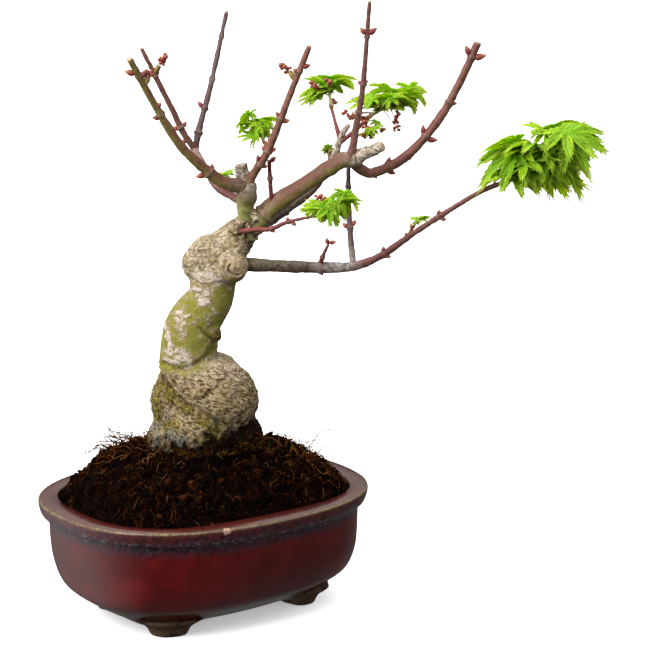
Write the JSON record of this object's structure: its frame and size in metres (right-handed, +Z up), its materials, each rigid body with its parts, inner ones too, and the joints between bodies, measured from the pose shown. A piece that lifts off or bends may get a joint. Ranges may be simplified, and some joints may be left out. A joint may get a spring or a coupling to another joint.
{
  "type": "potted bonsai tree",
  "caption": "Small maple bonsai with a stout knobbly trunk, pruned boughs and tufts of lobed spring leaves, in a lipped oval glazed pot on feet.",
  "frame": {"origin": "centre of the whole object's bounding box at the level of the feet's undersides", "axes": "+Z up; the pot's long side runs along X; the picture's camera looks from the left of the -Y side, about 37 degrees round from it"},
  "size_m": [0.205, 0.2162, 0.2917],
  "materials": {
    "glaze": "gloss",
    "peat": "matte",
    "old_bark": "matte",
    "green_bark": "satin",
    "young_bark": "satin",
    "leaf": "satin"
  },
  "bodies": {
    "root": {"pot": "glaze", "soil": "peat", "trunk": "old_bark", "leader": "green_bark", "bough_left": "young_bark", "bough_left_back": "young_bark", "twig_left_inner": "young_bark", "twig_left_tall": "young_bark", "twig_centre_left": "young_bark", "bough_main_right": "young_bark", "bough_right_curved": "young_bark", "twig_vertical": "young_bark", "twig_short_red": "young_bark", "bough_back_right": "young_bark", "twig_top_left": "young_bark", "twig_top_right": "young_bark", "bough_right_long": "young_bark", "twig_riser": "young_bark", "twig_front": "young_bark", "twig_spur": "young_bark", "spur_left": "young_bark", "spur_leader": "young_bark", "spur_back": "young_bark", "spur_right": "young_bark", "mass_right": "leaf", "mass_top_left": "leaf", "mass_top_right": "leaf", "mass_top_front": "leaf", "mass_left": "leaf", "mass_front": "leaf", "sprout_right": "leaf", "sprout_leader": "leaf", "sprout_back": "leaf"}
  },
  "joints": []
}
